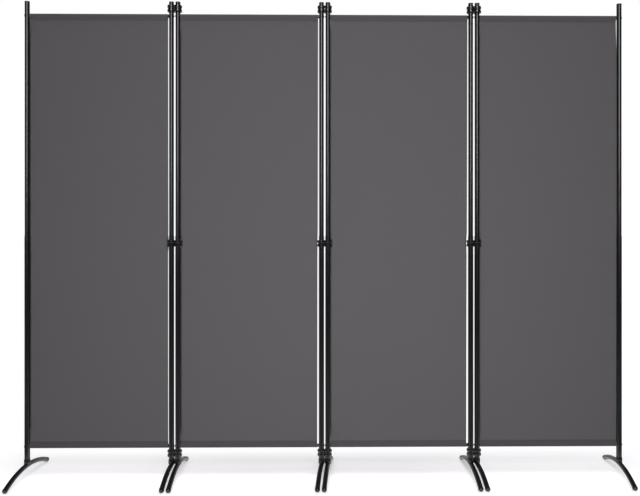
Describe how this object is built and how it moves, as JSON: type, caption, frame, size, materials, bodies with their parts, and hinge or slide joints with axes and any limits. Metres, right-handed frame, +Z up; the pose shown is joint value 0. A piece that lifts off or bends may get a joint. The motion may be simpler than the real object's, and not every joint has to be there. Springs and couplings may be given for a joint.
{
  "type": "folding screen",
  "caption": "Free-standing folding screen: grey fabric panels between black steel tube poles, joined by pivoting clips and standing on arched swivel feet.",
  "frame": {"origin": "on the floor, midway along the screen, in the plane of the poles", "axes": "+X along the screen to the right as seen from the front, -Y to the front, +Z up"},
  "size_m": [2.3014, 0.3536, 1.803],
  "materials": {
    "black_steel": "satin black powder coat",
    "grey_fabric": "plain woven polyester, mid grey",
    "clip_plastic": "moulded black plastic",
    "cap_plastic": "moulded black plastic",
    "tip_plastic": "moulded black plastic",
    "screw_steel": "black oxide",
    "insert_steel": "zinc plated"
  },
  "bodies": {
    "panel_1": {"panel_1_left_lower_pole": "black_steel", "panel_1_left_upper_pole": "black_steel", "panel_1_right_lower_pole": "black_steel", "panel_1_right_upper_pole": "black_steel", "panel_1_top_rail": "black_steel", "panel_1_bottom_rail": "black_steel", "panel_1_fabric": "grey_fabric", "panel_1_pole_caps": "cap_plastic", "panel_1_rail_screws": "screw_steel", "panel_1_rail_inserts": "insert_steel"},
    "panel_2": {"panel_2_left_lower_pole": "black_steel", "panel_2_left_upper_pole": "black_steel", "panel_2_right_lower_pole": "black_steel", "panel_2_right_upper_pole": "black_steel", "panel_2_top_rail": "black_steel", "panel_2_bottom_rail": "black_steel", "panel_2_fabric": "grey_fabric", "panel_2_pole_caps": "cap_plastic", "panel_2_rail_screws": "screw_steel", "panel_2_rail_inserts": "insert_steel"},
    "panel_3": {"panel_3_left_lower_pole": "black_steel", "panel_3_left_upper_pole": "black_steel", "panel_3_right_lower_pole": "black_steel", "panel_3_right_upper_pole": "black_steel", "panel_3_top_rail": "black_steel", "panel_3_bottom_rail": "black_steel", "panel_3_fabric": "grey_fabric", "panel_3_pole_caps": "cap_plastic", "panel_3_rail_screws": "screw_steel", "panel_3_rail_inserts": "insert_steel"},
    "panel_4": {"panel_4_left_lower_pole": "black_steel", "panel_4_left_upper_pole": "black_steel", "panel_4_right_lower_pole": "black_steel", "panel_4_right_upper_pole": "black_steel", "panel_4_top_rail": "black_steel", "panel_4_bottom_rail": "black_steel", "panel_4_fabric": "grey_fabric", "panel_4_pole_caps": "cap_plastic", "panel_4_rail_screws": "screw_steel", "panel_4_rail_inserts": "insert_steel"},
    "clips_1_2": {"hinge_clips_1_2": "clip_plastic"},
    "clips_2_3": {"hinge_clips_2_3": "clip_plastic"},
    "clips_3_4": {"hinge_clips_3_4": "clip_plastic"},
    "foot_1": {"foot_1": "black_steel", "foot_1_tips": "tip_plastic"},
    "foot_2": {"foot_2": "black_steel", "foot_2_tips": "tip_plastic"},
    "foot_3": {"foot_3": "black_steel", "foot_3_tips": "tip_plastic"},
    "foot_4": {"foot_4": "black_steel", "foot_4_tips": "tip_plastic"},
    "foot_5": {"foot_5": "black_steel", "foot_5_tips": "tip_plastic"},
    "foot_6": {"foot_6": "black_steel", "foot_6_tips": "tip_plastic"},
    "foot_7": {"foot_7": "black_steel", "foot_7_tips": "tip_plastic"},
    "foot_8": {"foot_8": "black_steel", "foot_8_tips": "tip_plastic"}
  },
  "joints": [
    {"name": "fold_at_pole_3", "type": "hinge", "parent": "panel_2", "child": "clips_1_2", "pos_m": [-0.5578, 0, 0], "axis": [0, 0, 1], "range_deg": [-89, 89]},
    {"name": "fold_at_pole_2", "type": "hinge", "parent": "clips_1_2", "child": "panel_1", "pos_m": [-0.5824, 0, 0], "axis": [0, 0, 1], "range_deg": [-89, 89]},
    {"name": "fold_at_pole_4", "type": "hinge", "parent": "panel_2", "child": "clips_2_3", "pos_m": [-0.0123, 0, 0], "axis": [0, 0, 1], "range_deg": [-89, 89]},
    {"name": "fold_at_pole_5", "type": "hinge", "parent": "clips_2_3", "child": "panel_3", "pos_m": [0.0123, 0, 0], "axis": [0, 0, 1], "range_deg": [-89, 89]},
    {"name": "fold_at_pole_6", "type": "hinge", "parent": "panel_3", "child": "clips_3_4", "pos_m": [0.5578, 0, 0], "axis": [0, 0, -1], "range_deg": [-89, 89]},
    {"name": "fold_at_pole_7", "type": "hinge", "parent": "clips_3_4", "child": "panel_4", "pos_m": [0.5824, 0, 0], "axis": [0, 0, -1], "range_deg": [-89, 89]},
    {"name": "foot_1_swivel", "type": "hinge", "parent": "panel_1", "child": "foot_1", "pos_m": [-1.1279, 0, 0], "axis": [0, 0, 1], "range_deg": [-88.2, 91.8]},
    {"name": "foot_8_swivel", "type": "hinge", "parent": "panel_4", "child": "foot_8", "pos_m": [1.1279, 0, 0], "axis": [0, 0, 1], "range_deg": [-82.7, 97.3]},
    {"name": "foot_2_swivel", "type": "hinge", "parent": "panel_1", "child": "foot_2", "pos_m": [-0.5824, 0, 0], "axis": [0, 0, 1], "range_deg": [-89, 89]},
    {"name": "foot_3_swivel", "type": "hinge", "parent": "panel_2", "child": "foot_3", "pos_m": [-0.5578, 0, 0], "axis": [0, 0, 1], "range_deg": [-89, 89]},
    {"name": "foot_4_swivel", "type": "hinge", "parent": "panel_2", "child": "foot_4", "pos_m": [-0.0123, 0, 0], "axis": [0, 0, 1], "range_deg": [-89, 89]},
    {"name": "foot_5_swivel", "type": "hinge", "parent": "panel_3", "child": "foot_5", "pos_m": [0.0123, 0, 0], "axis": [0, 0, 1], "range_deg": [-89, 89]},
    {"name": "foot_6_swivel", "type": "hinge", "parent": "panel_3", "child": "foot_6", "pos_m": [0.5578, 0, 0], "axis": [0, 0, -1], "range_deg": [-89, 89]},
    {"name": "foot_7_swivel", "type": "hinge", "parent": "panel_4", "child": "foot_7", "pos_m": [0.5824, 0, 0], "axis": [0, 0, -1], "range_deg": [-89, 89]}
  ],
  "couplings": [
    {"joint": "foot_2_swivel", "follows": "fold_at_pole_2", "ratio": -1},
    {"joint": "foot_3_swivel", "follows": "fold_at_pole_3", "ratio": 1},
    {"joint": "foot_4_swivel", "follows": "fold_at_pole_4", "ratio": 1},
    {"joint": "foot_5_swivel", "follows": "fold_at_pole_5", "ratio": -1},
    {"joint": "foot_6_swivel", "follows": "fold_at_pole_6", "ratio": 1},
    {"joint": "foot_7_swivel", "follows": "fold_at_pole_7", "ratio": -1}
  ]
}
